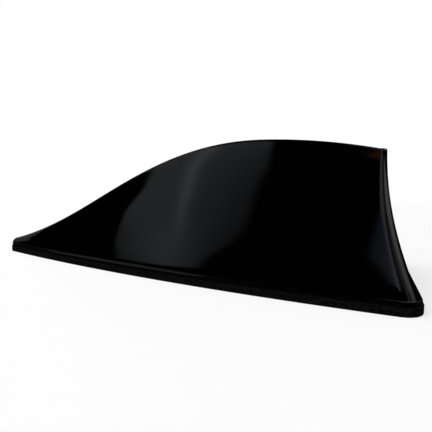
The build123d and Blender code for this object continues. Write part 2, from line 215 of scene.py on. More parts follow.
def ridge_height(x):
    """Height of the ridge over a place along the fin: a cubic curve up to the peak, an arc behind it."""
    t = x.share(NOSE_X, PEAK_X)
    for _ in range(NEWTON_STEPS):
        rest = 1 - t
        slope = rest * rest * (3 * (RIDGE_X[1] - RIDGE_X[0])) + rest * t * (6 * (RIDGE_X[2] - RIDGE_X[1]))
        slope = slope + t * t * (3 * (RIDGE_X[3] - RIDGE_X[2]))
        t = (t - (cubic(t, RIDGE_X) - x) / slope).held()
    behind = x - PEAK_X
    rear = (CROWN_RADIUS**2 - behind * behind).math("SQRT") + (PEAK - CROWN_RADIUS)
    return cubic(t, RIDGE_Z).mix(rear, behind.step(0.0))


print("ridge from", RIDGE_Z[0], "mm at the nose to", PEAK, "mm at", round(PEAK_X, 1))

# %% The bow of the side
def bow_middle(nose, tip_round, corner_x, corner_y, corner):
    """Middle of the large circle that holds the nose's and the corner's circle and touches both."""
    run = corner_x - nose
    gap = (run * run + corner_y * corner_y).math("SQRT")
    from_nose = BOW - tip_round
    from_corner = BOW - corner
    along = (from_nose * from_nose - from_corner * from_corner + gap * gap) / (gap * 2)
    drop = (from_nose * from_nose - along * along).math("SQRT")
    return nose + (run * along + corner_y * drop) / gap, (corner_y * along - run * drop) / gap


print("side bowed to a radius of", BOW, "mm")

# %% Outline at a height
NOSE_END, SIDE_END, CORNER_END = 0.05, 0.82, 0.93
NOSE_ROUND = 1.6
FRONT = NOSE_X + 0.6
TIP_PULL, FRONT_PULL, CORNER_PULL = 3.5, 2.8, 0.5
FLARE_LEAN, FLARE_FRONT, FLARE_GROWTH = 0.14, 0.35, 2.35
FLARE_STARTS, FLARE_GROWS = (0.05, 0.25), (0.5, 0.95)


def outline_at(u, z, inset):
    """Place on the outline at a height: u runs from the nose over the side and the corner to the tail.

    Also gives the angle that faces outwards there, the half width and the place where the side ends."""
    below = ((PEAK - z) / (PEAK - RIM_TOP)).math("MAXIMUM", 0.0)
    half = below**FLARE * (BASE_HALF - TOP_HALF) + (TOP_HALF - inset)
    tail = below**SWEEP * (BASE_TAIL - TOP_TAIL) + (TOP_TAIL - inset)
    corner = below * (BASE_CORNER - TOP_CORNER) + (TOP_CORNER - CORNER_PULL * inset)
    tip_round = below * (BASE_TIP - TOP_TIP) + TOP_TIP
    nose = tip_at(z) + tip_round + TIP_PULL * inset
    corner_x = tail - corner
    corner_y = half - corner
    bow_x, bow_y = bow_middle(nose, tip_round, corner_x, corner_y, corner)
    turn = (corner_y - bow_y).math("ARCTAN2", corner_x - bow_x)
    nose_turn = u.share(0.0, NOSE_END) * (math.pi / 2)
    side_share = u.share(NOSE_END, SIDE_END)
    corner_share = u.share(SIDE_END, CORNER_END)
    side_from = FRONT + FRONT_PULL * inset + NOSE_ROUND
    side_to = corner_x + corner * turn.math("COSINE")
    side_x = (side_to - side_from) * side_share + side_from
    reach = side_x - bow_x
    half_width = bow_y + (BOW**2 - reach * reach).math("SQRT")
    side_x = side_x - nose_turn.math("COSINE") * NOSE_ROUND
    side_y = half_width * nose_turn.math("SINE")
    angle = turn * (1 - corner_share)
    bend_x = corner_x + corner * angle.math("COSINE")
    bend_y = (corner_y + corner * angle.math("SINE")) * (1 - u.share(CORNER_END, 1.0))
    behind = u.step(SIDE_END)
    out_angle = (math.pi - nose_turn).mix((1 - corner_share) * (math.pi / 2), behind)
    flare_height = side_share.ease(*FLARE_GROWS) * FLARE_GROWTH + FLARE_FRONT
    low = ((RIM_TOP - z) / flare_height + 1).math("MAXIMUM", 0.0)
    flare = low * low * flare_height * FLARE_LEAN * side_share.ease(*FLARE_STARTS) * (1 - corner_share)
    return side_x.mix(bend_x, behind), side_y.mix(bend_y, behind) + flare, out_angle, half_width, side_to


print("outline shares: nose", NOSE_END, "side", SIDE_END - NOSE_END, "corner", CORNER_END - SIDE_END)

# %% Vectors, taken apart and put together
def split(wire):
    """The three numbers of a vector."""
    x = Wire.make(wire.tree, "ShaderNodeSeparateXYZ", None, {0: wire})
    return x, x.other(1), x.other(2)


def vector(x, y, z):
    tree = next(value.tree for value in (x, y, z) if isinstance(value, Wire))
    return Wire.make(tree, "ShaderNodeCombineXYZ", None, {0: x, 1: y, 2: z})


def moved(geometry, place):
    inputs = {"Geometry": geometry, "Position": place}
    return Wire.make(geometry.tree, "GeometryNodeSetPosition", None, inputs)


print("helpers for vectors:", [helper.__name__ for helper in (split, vector, moved)])

# %% One half of the skin
NOSE_SETBACK, NOSE_ARCH_END = 1.6, 0.2
TOP_CORNER_X = 73.7
WALL_END, EDGE_END = 0.7, 0.92
EDGE_ROUND, EDGE_MOST_HIGH, EDGE_MOST_WIDE = 0.9, 0.55, 0.85


def half_skin(grid, inset):
    """Bends a unit grid to one half of the fin's surface, a wall's thickness inside it if asked."""
    across, up, _ = split(Wire.make(grid.tree, "GeometryNodeInputPosition"))
    u, v = across + 0.5, up + 0.5
    edge_share = v.share(WALL_END, EDGE_END)
    crown_share = v.share(EDGE_END, 1.0)
    side_share = u.share(NOSE_END, SIDE_END)
    front = FRONT + FRONT_PULL * inset + NOSE_SETBACK
    crest = side_share * (TOP_CORNER_X - front) + front
    top = ridge_height(crest) - inset
    foot = WALL_FOOT if not inset else SEAL_HEIGHT
    edge_drop = ((top - foot) * EDGE_MOST_HIGH).math("MINIMUM", EDGE_ROUND)
    wall_z = (top - edge_drop - foot) * v.share(0.0, WALL_END) + foot
    wall_x, wall_y, *_ = outline_at(u, wall_z, inset)
    edge_x, edge_y, out_angle, half_width, side_end = outline_at(u, top, inset)
    edge_run = edge_drop.math("MINIMUM", half_width * EDGE_MOST_WIDE)
    first = (1 - edge_share) * (1 - edge_share)
    last = edge_share * edge_share * edge_run
    x = wall_x * first + edge_x * (1 - first) - out_angle.math("COSINE") * last
    y = wall_y * first + edge_y * (1 - first) - out_angle.math("SINE") * last
    x = x.mix(side_end, crown_share * u.step(SIDE_END))
    y = y.math("MAXIMUM", 0.0) * (1 - crown_share)
    z = wall_z * first + top * (1 - first)
    foot_x, foot_y, *_ = outline_at(u, wall_z * 0 + foot, inset)
    turn = v * (math.pi / 2)
    arch = 1 - side_share.ease(0.0, NOSE_ARCH_END)
    x = x.mix(foot_x + (crest - foot_x) * (1 - turn.math("COSINE")), arch)
    y = y.mix(foot_y * turn.math("COSINE"), arch)
    z = z.mix((top - foot) * turn.math("SINE") + foot, arch)
    return moved(grid, vector(x * MM, y * MM, z * MM))


print("rows of the skin: wall to", WALL_END, "edge to", EDGE_END, "and then the crown")

# %% Trees with named inputs
SOCKETS = {int: "NodeSocketInt", float: "NodeSocketFloat", tuple: "NodeSocketVector"}
SOCKETS[bpy.types.Material] = "NodeSocketMaterial"


def field_tree(name, sizes):
    """An empty Geometry Nodes tree with an input for each size, and the wires of its inputs."""
    tree = bpy.data.node_groups.new(name, "GeometryNodeTree")
    for direction in ("OUTPUT", "INPUT"):
        tree.interface.new_socket("Geometry", in_out=direction, socket_type="NodeSocketGeometry")
    for label, value in sizes.items():
        socket = tree.interface.new_socket(label, in_out="INPUT", socket_type=SOCKETS[type(value)])
        socket.default_value = value
    start = Wire.make(tree, "NodeGroupInput")
    return tree, {label: start.other(label) for label in ("Geometry", *sizes)}


def finish_tree(geometry, material):
    """Ends a tree with real geometry and its finish."""
    tree = geometry.tree
    real = Wire.make(tree, "GeometryNodeRealizeInstances", None, {"Geometry": geometry})
    dressed = Wire.make(tree, "GeometryNodeSetMaterial", None, {"Geometry": real, "Material": material})
    Wire.make(tree, "NodeGroupOutput", None, {0: dressed}, None)
    return tree


print("kinds of input:", list(SOCKETS.values()))

# %% From a tree to a plain mesh
def added(name, data):
    """A new object in the scene."""
    piece = bpy.data.objects.new(name, data)
    bpy.context.scene.collection.objects.link(piece)
    return piece


def grown(name, tree, sizes, spots=()):
    """An object with the tree's result as its plain mesh. The tree may start from points at given spots."""
    piece = added(name, bpy.data.meshes.new(name))
    piece.data.from_pydata([Vector(spot) * MM for spot in spots], [], [])
    modifier = piece.modifiers.new(name, "NODES")
    modifier.node_group = tree
    for item in tree.interface.items_tree:
        if item.in_out == "INPUT" and item.name in sizes:
            modifier[item.identifier] = sizes[item.name]
    mesh = bpy.data.meshes.new_from_object(piece.evaluated_get(bpy.context.evaluated_depsgraph_get()))
    piece.modifiers.clear()
    piece.data = mesh
    mesh.name = name
    used = {mesh.materials[face.material_index].name for face in mesh.polygons}
    mesh.polygons.foreach_set("material_index", [0] * len(mesh.polygons))
    mesh.materials.clear()
    mesh.materials.append(sizes["Finish"])
    print(name, len(mesh.vertices), "points,", len(mesh.polygons), "faces, finish", used)
    return piece


# %% Steps that several trees take
SEAM = 2e-6


def joined(*parts):
    """Several geometries as one."""
    together = Wire.make(parts[0].tree, "GeometryNodeJoinGeometry")
    for part in parts:
        together.tree.links.new(part.socket, together.socket.node.inputs[0])
    return together


def turned_over(mesh):
    return Wire.make(mesh.tree, "GeometryNodeFlipFaces", None, {"Mesh": mesh})


def merged(geometry, distance):
    inputs = {"Geometry": geometry, "Distance": distance}
    return Wire.make(geometry.tree, "GeometryNodeMergeByDistance", None, inputs)


def mirrored(half):
    """A half and its mirror image across the fin's middle, joined along the seam."""
    other = Wire.make(half.tree, "GeometryNodeTransform", None, {"Geometry": half, "Scale": (1, -1, 1)})
    return merged(joined(half, turned_over(other)), SEAM)


def unit_grid(tree, columns, rows):
    net = {"Size X": 1.0, "Size Y": 1.0, "Vertices X": columns, "Vertices Y": rows}
    return Wire.make(tree, "GeometryNodeMeshGrid", None, net)


def smooth(geometry):
    return Wire.make(geometry.tree, "GeometryNodeSetShadeSmooth", None, {"Geometry": geometry})


print("halves join where they lie within", SEAM, "m")

# %% Grow the fin
def fin_tree(sizes):
    tree, given = field_tree("fin rule", sizes)
    half = half_skin(unit_grid(tree, given["Columns"], given["Rows"]), 0.0)
    outer = mirrored(turned_over(half))
    inner = mirrored(half_skin(unit_grid(tree, given["Columns"], given["Inner rows"]), WALL))
    return finish_tree(smooth(joined(outer, inner)), given["Finish"])


fin_sizes = {"Columns": 260, "Rows": 84, "Inner rows": 30, "Finish": finishes["gloss_black"]}
fin_skin = grown("fin_skin", fin_tree(fin_sizes), fin_sizes)

# %% [markdown]
# The foot of the shell
#
# A moulded cover is a shell, here with a wall of two millimetres. The tree gives its outer and inner skin,
# which are still open at the foot. A Solidify modifier would make a wall from one skin, but it folds over
# itself in the tight nose. So the two free edges are bridged with a flat strip, kept sharp at both sides.

# %% Close the shell at its foot
def closed(piece):
    """Bridges the free edges of the outer and the inner skin, and turns every face outwards."""
    shell = bmesh.new()
    shell.from_mesh(piece.data)
    free = [edge for edge in shell.edges if edge.is_boundary]
    for edge in free:
        edge.smooth = False
    bmesh.ops.bridge_loops(shell, edges=free)
    bmesh.ops.recalc_face_normals(shell, faces=shell.faces)
    if shell.calc_volume(signed=True) < 0:
        bmesh.ops.reverse_faces(shell, faces=shell.faces)
    still_open = sum(edge.is_boundary for edge in shell.edges)
    volume = shell.calc_volume(signed=True) * 1e6
    shell.to_mesh(piece.data)
    shell.free()
    print(piece.name, "open edges:", still_open, "volume:", round(volume, 1), "cm3")


closed(fin_skin)

# %% [markdown]
# Rim and rubber seal
#
# The rim is the fin's own flat foot, and the seal is the rubber band under it. Both run round one outline,
# each row of points a little further in, so one ring maker serves both. A curve with a bevel could do it,
# but it would fold over itself at the tight nose, where the real outline pulls back instead.

# %% Arcs of the base outline
def arc(middle, radius, start, end, steps):
    angles = np.linspace(start, end, steps, endpoint=False)
    return np.stack([middle[0] + radius * np.cos(angles), middle[1] + radius * np.sin(angles)], 1)


def bow_centre(nose, tip_round, corner, corner_round):
    """Middle of the large circle that holds the nose's and the corner's circle and touches both."""
    gap = np.linalg.norm(corner - nose)
    along = (corner - nose) / gap
    across = np.array([along[1], -along[0]])
    step = ((BOW - tip_round) ** 2 - (BOW - corner_round) ** 2 + gap**2) / (2 * gap)
    return nose + along * step + across * math.sqrt((BOW - tip_round) ** 2 - step**2)


print("a quarter in 2 steps:", arc((0, 0), 1.0, 0.0, math.pi / 2, 2).round(2).tolist())

# %% Points round the base outline
LEAST_ROUND = 1.2


def base_outline(inset, nose_steps=14, side_steps=150, corner_steps=14, tail_steps=24):
    """Points round the roof outline, moved inwards, with the nose pulled back along the taper."""
    nose = np.array([NOSE_X + NOSE_RADIUS, 0.0])
    corner = np.array([TAIL_X - CORNER_RADIUS, WIDTH / 2 - CORNER_RADIUS])
    centre = bow_centre(nose, NOSE_RADIUS, corner, CORNER_RADIUS)
    taper = (centre - nose)[0] / np.linalg.norm(centre - nose)
    tip_round = max(NOSE_RADIUS - inset, LEAST_ROUND)
    corner_round = max(CORNER_RADIUS - inset, LEAST_ROUND)
    nose = np.array([nose[0] + (inset + tip_round - NOSE_RADIUS) / taper, 0.0])
    corner = np.array([TAIL_X - inset - corner_round, WIDTH / 2 - inset - corner_round])
    centre = bow_centre(nose, tip_round, corner, corner_round)
    at_nose = math.atan2(*(nose - centre)[::-1])
    at_corner = math.atan2(*(corner - centre)[::-1])
    half = [arc(nose, tip_round, math.pi, at_nose, nose_steps)]
    half.append(arc(centre, BOW, at_nose, at_corner, side_steps))
    half.append(arc(corner, corner_round, at_corner, 0.0, corner_steps))
    tail_y = np.linspace(corner[1], 0.0, tail_steps, endpoint=False)
    half.append(np.stack([np.full(tail_steps, TAIL_X - inset), tail_y], 1))
    points = np.concatenate(half)
    other = points[1:][::-1] * [1, -1]
    return np.concatenate([points, [[TAIL_X - inset, 0.0]], other])


print("outline points:", len(base_outline(0.0)), "nose at", base_outline(0.0)[0])

# %% A band from a profile
def ring(name, profile, material):
    """A closed band round the base outline: each profile point is an inset and a height."""
    rows = []
    for inset, z in profile:
        outline = base_outline(inset)
        rows.append(np.column_stack([outline, np.full(len(outline), z)]))
    count = len(rows[0])
    faces = []
    for row in range(len(rows)):
        above = (row + 1) % len(rows)
        for i in range(count):
            j = (i + 1) % count
            faces.append((row * count + i, above * count + i, above * count + j, row * count + j))
    mesh = bpy.data.meshes.new(name)
    mesh.from_pydata((np.concatenate(rows) * MM).tolist(), [], faces)
    mesh.polygons.foreach_set("use_smooth", [True] * len(faces))
    mesh.materials.append(material)
    print(name, len(mesh.vertices), "points,", len(faces), "faces")
    return added(name, mesh)


def rounded(inset, z, radius, start, end, steps):
    """Profile points of a rounded edge, by angles in degrees: 0 points outwards and 90 up."""
    turns = [math.radians(start + (end - start) * i / steps) for i in range(steps + 1)]
    return [(inset - radius * math.cos(turn), z + radius * math.sin(turn)) for turn in turns]


print("a rounded edge:", np.round(rounded(1.0, 1.0, 1.0, 0, 90, 2), 2).tolist())

# %% Rim, as part of the fin
RIM_REACH, RIM_LOW_ROUND, RIM_TOP_ROUND, RIM_SIDE, UNDER_FIN = 3.0, 0.15, 0.18, 0.4, 0.3
low_edge = (SEAL_PROUD + RIM_LOW_ROUND, SEAL_HEIGHT + RIM_LOW_ROUND, RIM_LOW_ROUND)
top_edge = (SEAL_PROUD + 2 * RIM_TOP_ROUND, RIM_TOP - RIM_TOP_ROUND, RIM_TOP_ROUND)
rim_profile = [(RIM_REACH, SEAL_HEIGHT)]
rim_profile += rounded(*low_edge, -90, 0, 3)
rim_profile += [(SEAL_PROUD, SEAL_HEIGHT + RIM_SIDE)]
rim_profile += rounded(*top_edge, 12, 90, 6)
rim_profile += [(FIN_INSET + UNDER_FIN, RIM_TOP), (RIM_REACH, RIM_TOP)]
fin_rim = ring("fin_rim", rim_profile, finishes["gloss_black"])

# %% Seal
SEAL_REACH, SEAL_LOW_ROUND, SEAL_TOP_ROUND = 6.0, 0.2, 0.25
seal_profile = [(SEAL_REACH, 0.0)]
seal_profile += rounded(SEAL_LOW_ROUND, SEAL_LOW_ROUND, SEAL_LOW_ROUND, -90, 0, 3)
seal_profile += rounded(SEAL_TOP_ROUND, SEAL_HEIGHT - SEAL_TOP_ROUND, SEAL_TOP_ROUND, 0, 90, 4)
seal_profile += [(SEAL_REACH, SEAL_HEIGHT)]
seal_band = ring("seal_band", seal_profile, finishes["seal_rubber"])

# %% [markdown]
# Bosses and rib inside the cover
#
# A moulded cover stands on its screws: a hollow post grows down from the wall over each of them, and one rib
# keeps the nose from flexing. They end on a curved wall, so their tops can't be drawn flat.
# Geometry Nodes cast a ray from each top point to the inner skin, and set the point where the ray lands.

# %% Where a ray lands
RAY_LENGTH = 0.2


def landing(skin, start, direction):
    """Where a ray from a point meets a skin."""
    inputs = {"Target Geometry": skin, "Source Position": start, "Ray Direction": direction}
    inputs["Ray Length"] = RAY_LENGTH
    return split(Wire.make(skin.tree, "GeometryNodeRaycast", None, inputs, "Hit Position"))


def set_on(points, shape, **more):
    """A shape on each of some points."""
    inputs = {"Points": points, "Instance": shape} | more
    return Wire.make(points.tree, "GeometryNodeInstanceOnPoints", None, inputs)


print("rays reach", RAY_LENGTH, "m")

# %% Bosses
POST_FOOT, TOP_MARK = RIM_TOP * MM, 0.001
OVER_BORE, SINK, WELD = 0.0006, 0.0002, 1e-6
BOSS_COLUMNS, BOSS_ROWS = 33, 6
COVER_SCREWS = [(-56.1, 0), (28.05, 13.47), (28.05, -13.47), (65.96, 17.53), (65.96, -17.53)]


def bosses(given, skin, place):
    """A hollow post on each point, rolled up from a grid.

    Its rows are the bore's axis, end and mouth, the edges of the foot and the top, and the top's middle.
    The top is marked by its height until a ray sets it on the wall."""
    x, y, z = split(place)
    u, v = x + 0.5, y + 0.5
    bore, boss, depth = given["Bore radius"], given["Boss radius"], given["Bore depth"]
    radius = v.step(0.1) * bore + v.step(0.5) * (boss - bore) - v.step(0.9) * boss
    height = (1 - v.step(0.3)) * depth + v.step(0.7) * (depth + TOP_MARK)
    turn = u * (2 * math.pi)
    rolled = vector(turn.math("COSINE") * radius, turn.math("SINE") * radius, height)
    posts = set_on(given["Geometry"], moved(unit_grid(skin.tree, BOSS_COLUMNS, BOSS_ROWS), rolled))
    posts = Wire.make(skin.tree, "GeometryNodeRealizeInstances", None, {"Geometry": posts})
    is_top = z.step(depth + (POST_FOOT + TOP_MARK / 2))
    wall = landing(skin, vector(x, y, POST_FOOT), (0, 0, 1))[2]
    under = z.math("MINIMUM", wall - OVER_BORE)
    return merged(moved(posts, vector(x, y, under.mix(wall + SINK, is_top))), WELD)


print("bosses:", len(COVER_SCREWS))

# %% Rib, and both together
RIB_X, RIB_FOOT, RIB_GAP, RIB_SINK = -25.0 * MM, 10.0 * MM, 0.05 * MM, 0.3 * MM
SKIN_COLUMNS, SKIN_ROWS = 200, 40


def rib(given, skin, place):
    """A block across the fin, stretched to the ridge above and to the walls at its ends."""
    x, y, z = split(place)
    block = {"Size": (1, 2, 1), "Vertices X": 2, "Vertices Y": 9, "Vertices Z": 18}
    rib_x = x * given["Rib thickness"] + RIB_X
    ridge = landing(skin, vector(rib_x, 0.0, RIB_FOOT), (0, 0, 1))[2]
    rib_z = (ridge - (RIB_FOOT + RIB_GAP)) * (z + 0.5) + RIB_FOOT
    reach = landing(skin, vector(rib_x, 0.0, rib_z), (0, 1, 0))[1] + RIB_SINK
    return moved(Wire.make(skin.tree, "GeometryNodeMeshCube", None, block), vector(rib_x, y * reach, rib_z))


def inside_tree(sizes):
    tree, given = field_tree("bosses and rib", sizes)
    skin = mirrored(half_skin(unit_grid(tree, SKIN_COLUMNS, SKIN_ROWS), WALL))
    place = Wire.make(tree, "GeometryNodeInputPosition")
    return finish_tree(joined(bosses(given, skin, place), rib(given, skin, place)), given["Finish"])


inside_sizes = {"Boss radius": 0.003, "Bore radius": 0.0013, "Bore depth": 0.0078, "Rib thickness": 0.0014}
inside_sizes["Finish"] = finishes["gloss_black"]
boss_spots = [(x, y, RIM_TOP) for x, y in COVER_SCREWS]
fin_inside = grown("fin_inside", inside_tree(inside_sizes), inside_sizes, boss_spots)

# %% [markdown]
# Wire of the loading coil
#
# The coil under the plate is one enamelled wire, wound close on its white former. The solid has a plain
# sleeve there. Rings stacked on each other would look near enough, but a wound wire climbs as it goes round.
# A spiral curve with a round profile gives every turn of it, and its inputs are what a winder would ask for.

# %% Wind the coil
def coil_tree(sizes):
    tree, given = field_tree("coil", sizes)
    helix = {"Resolution": 40, "Rotations": given["Turns"], "Height": given["Height"]}
    helix |= {"Start Radius": given["Radius"], "End Radius": given["Radius"]}
    line = Wire.make(tree, "GeometryNodeCurveSpiral", None, helix)
    round_wire = {"Resolution": 12, "Radius": given["Wire radius"]}
    profile = Wire.make(tree, "GeometryNodeCurvePrimitiveCircle", None, round_wire)
    skin = {"Curve": line, "Profile Curve": profile, "Fill Caps": True}
    turns = smooth(Wire.make(tree, "GeometryNodeCurveToMesh", None, skin))
    placed = {"Geometry": turns, "Translation": given["Place"]}
    return finish_tree(Wire.make(tree, "GeometryNodeTransform", None, placed), given["Finish"])


coil_sizes = {"Turns": 14.0, "Radius": 0.00365, "Height": 0.0127, "Wire radius": 0.00045}
coil_sizes |= {"Place": (0.0405, 0.0, 0.00985), "Finish": finishes["coil_copper"]}
coil_turns = grown("coil_turns", coil_tree(coil_sizes), coil_sizes)

# %% [markdown]
# Screws
#
# Ten small screws hold the aerial together: five from below into the cover, three through the board
# and two through the feet of the holder. Ten copies could be modelled and placed by hand, but they are
# one screw in two sizes. So one tree draws it from its sizes, with rings for the thread and a cross
# cut into its head, and sets it on the points where the solids have theirs.

# %% Head of a screw
HEAD_SIDES, HEAD_TAPER = 32, 0.82
CROSS_SLOTS = ((0.3, 1.15, 1.0), (1.15, 0.31, 0.95))


def cone(tree, sides, bottom, top, height):
    sizes = {"Vertices": sides, "Radius Bottom": bottom, "Radius Top": top, "Depth": height}
    return Wire.make(tree, "GeometryNodeMeshCone", None, sizes)


def raised(geometry, height):
    inputs = {"Geometry": geometry, "Translation": vector(0.0, 0.0, height)}
    return Wire.make(geometry.tree, "GeometryNodeTransform", None, inputs)


def screw_head(radius, height):
    """A pan head that hangs below its seat, with the two slots of a cross cut one after the other."""
    tree = radius.tree
    head = cone(tree, HEAD_SIDES, radius * HEAD_TAPER, radius, height)
    for wide, long, deep in CROSS_SLOTS:
        slot_size = vector(radius * wide, radius * long, height * deep)
        bar = Wire.make(tree, "GeometryNodeMeshCube", None, {"Size": slot_size})
        cut = {"Mesh 1": head, "Mesh 2": bar}
        head = Wire.make(tree, "GeometryNodeMeshBoolean", {"operation": "DIFFERENCE"}, cut)
    return raised(head, height * -1)


print("slots of the cross:", len(CROSS_SLOTS))

# %% Shank of a screw
SHANK_SIDES, RINGS = 24, 10
CORE, POINT, RING_HIGH, RING_LIFT = 0.78, 0.2, 0.8, 0.1


def screw_shank(radius, length):
    """A core with rings for its thread, and a blunt point."""
    tree = radius.tree
    pitch = length / (RINGS + 1)
    core = cone(tree, SHANK_SIDES, radius * CORE, radius * CORE, length - pitch)
    thread = cone(tree, SHANK_SIDES, radius, radius * CORE, pitch * RING_HIGH)
    start, offset = vector(0.0, 0.0, pitch * RING_LIFT), vector(0.0, 0.0, pitch)
    line = {"Count": RINGS, "Start Location": start, "Offset": offset}
    rings = set_on(Wire.make(tree, "GeometryNodeMeshLine", None, line), thread)
    point = raised(cone(tree, SHANK_SIDES, radius * CORE, radius * POINT, pitch), length - pitch)
    return core, rings, point


print("thread rings on a screw:", RINGS)

# %% Set the screws
HEAD_SEAT, BOARD_TOP, FOOT_TOP = 2.8, 8.2, 6.0


def screw_tree(sizes):
    tree, given = field_tree("screws", sizes)
    head = screw_head(given["Head radius"], given["Head height"])
    screw = joined(head, *screw_shank(given["Shank radius"], given["Shank length"]))
    half_turn = vector(given["Upside down"] * math.pi, 0.0, 0.0)
    over = Wire.make(tree, "FunctionNodeEulerToRotation", None, {0: half_turn})
    return finish_tree(set_on(given["Geometry"], screw, Rotation=over), given["Finish"])


zinc = {"Finish": finishes["screw_steel"]}
cover_size = {"Head radius": 0.0025, "Head height": 0.0016, "Shank radius": 0.00125, "Shank length": 0.008}
small_size = {"Head radius": 0.0019, "Head height": 0.0012, "Shank radius": 0.0009, "Shank length": 0.004}
cover_size |= {"Upside down": 0.0} | zinc
small_size |= {"Upside down": 1.0} | zinc
cover_spots = [(x, y, HEAD_SEAT) for x, y in COVER_SCREWS]
board_spots = [(2.5, 0, BOARD_TOP), (48.5, 5.8, BOARD_TOP), (48.5, -5.8, BOARD_TOP)]
foot_spots = [(-17.94, 0, FOOT_TOP), (68.94, 0, FOOT_TOP)]
screws = screw_tree(cover_size)
screws_in_cover = grown("screws_in_cover", screws, cover_size, cover_spots)
screws_in_board = grown("screws_in_board", screws, small_size, board_spots)
screws_in_feet = grown("screws_in_feet", screws, small_size, foot_spots)

# %% [markdown]
# Finishes of the outside
#
# Piano black is clear gloss over a nearly black plastic: all that the eye gets is reflections.
# A painted-on shine would slide off it as the aerial turns, so the shader stays plain, nearly a mirror,
# with a faint haze in its gloss. The rubber is matt and finely grained, which breaks its shade into specks.

# %% Start a finish
def cleared(owner):
    """The empty node tree of a material or a world."""
    owner.use_nodes = True
    owner.node_tree.nodes.clear()
    return owner.node_tree


def finish(slot, **constants):
    """Starts a slot's material: its Principled shader and the surface position, as wires."""
    tree = cleared(finishes[slot])
    plain = {label.replace("_", " "): value for label, value in constants.items()}
    shader = Wire.make(tree, "ShaderNodeBsdfPrincipled", None, plain)
    Wire.make(tree, "ShaderNodeOutputMaterial", None, {0: shader}, None)
    return shader, Wire.make(tree, "ShaderNodeTexCoord", None, None, "Object")


def feed(shader, **wires):
    for label, wire in wires.items():
        wire.tree.links.new(wire.socket, shader.socket.node.inputs[label.replace("_", " ")])


def noise(place, scale, detail=3.0, roughness=0.5):
    inputs = {"Vector": place, "Scale": scale, "Detail": detail, "Roughness": roughness}
    return Wire.make(place.tree, "ShaderNodeTexNoise", None, inputs, 0)


print("finishes to make:", len(finishes))

# %% Gloss black
CLEAREST, HAZE = 0.02, 0.03
shader, place = finish("gloss_black", IOR=1.5, Base_Color=(0.0003, 0.0003, 0.00035, 1))
feed(shader, Roughness=noise(place, 60.0, 4.0) * HAZE + CLEAREST)
print("gloss black: roughness from", CLEAREST, "to", CLEAREST + HAZE)

# %% Seal rubber
RUBBER_LIGHT = 0.0058


def bump(height, strength, distance):
    inputs = {"Height": height, "Strength": strength, "Distance": distance}
    return Wire.make(height.tree, "ShaderNodeBump", None, inputs)


def colours(factor, dark, light):
    """A colour between two, by a wire."""
    inputs = {0: factor, 6: (*dark, 1), 7: (*light, 1)}
    return Wire.make(factor.tree, "ShaderNodeMix", {"data_type": "RGBA"}, inputs, 2)


shader, place = finish("seal_rubber", IOR=1.45, Specular_IOR_Level=0.2)
grain = noise(place, 1800.0, 2.0, 0.6)
specks = colours(grain.ease(0.36, 0.66), (0.0, 0.0, 0.0), (RUBBER_LIGHT,) * 3)
feed(shader, Base_Color=specks, Roughness=grain * 0.2 + 0.6, Normal=bump(grain, 0.6, 0.0002))
print("seal rubber: grey up to", RUBBER_LIGHT)

# %% [markdown]
# Finishes of the plastics, the foam and the board
#
# Out of sight, but seen when the aerial is opened or turned over. Foam tape is a field of tiny cells,
# a base plate comes grained from a spark-eroded mould, and a board has copper tracks under green lacquer.
# Pictures could be wrapped round them, but patterns made by nodes stay sharp and need no seams.
# Each finish starts from the colour that the record gives its slot, so the two agree.

# %% Shades of a slot's own colour
base_colour = {entry["slot"]: entry["base_color"][:3] for entry in record["materials"]}


def shades(slot, factor, dark, light):
    """A colour between a darker and a lighter shade of the slot's own."""
    own = base_colour[slot]
    return colours(factor, [part * dark for part in own], [part * light for part in own])


def cells(place, scale):
    inputs = {"Vector": place, "Scale": scale}
    return Wire.make(place.tree, "ShaderNodeTexVoronoi", None, inputs, "Distance")


def mottled(slot, shader, pattern, dark, light, smoothest, spread):
    """A slot's colour between two of its shades, and a roughness, both by the same pattern."""
    feed(shader, Base_Color=shades(slot, pattern, dark, light), Roughness=pattern * spread + smoothest)


print("own colours:", {slot: [round(part, 3) for part in own] for slot, own in base_colour.items()})

# %% Foam tape and grained plastic
shader, place = finish("foam_tape", Specular_IOR_Level=0.2)
cell = cells(place, 1500.0)
feed(shader, Base_Color=shades("foam_tape", cell.ease(0.1, 0.6), 1.15, 0.55), Roughness=cell * 0.2 + 0.75)
feed(shader, Normal=bump(cell, 0.7, 0.0003))
shader, place = finish("moulded_black", IOR=1.5)
grain = noise(place, 1800.0, 4.0, 0.6)
blotch = noise(place, 90.0) * 0.6 + grain * 0.4
feed(shader, Base_Color=shades("moulded_black", blotch, 0.75, 1.3), Roughness=grain * 0.25 + 0.4)
feed(shader, Normal=bump(grain, 0.35, 0.0001))
print("foam and moulded plastic are set")

# %% Circuit board
TRACKS, THREADS = 1250, 9000
shader, place = finish("board_green", IOR=1.5, Coat_Weight=0.3, Coat_Roughness=0.15)
x, y, z = split(place)
bend = noise(place, 260.0, 0.0).step(0.5)
across_tracks = (x * TRACKS).math("SINE").step(0.35)
along_tracks = (y * TRACKS).math("SINE").step(0.35)
tracks = across_tracks.mix(along_tracks, bend) * noise(place, 140.0, 1.0).step(0.46)
weave = (x * THREADS).math("SINE") * (y * THREADS).math("SINE") * 0.5 + 0.5
feed(shader, Base_Color=shades("board_green", tracks * 0.7 + weave * 0.3, 0.7, 1.5))
feed(shader, Roughness=weave * 0.1 + 0.28, Normal=bump(tracks, 0.4, 0.00004))
print("board: a track every", round(2000 * math.pi / TRACKS, 1), "mm")

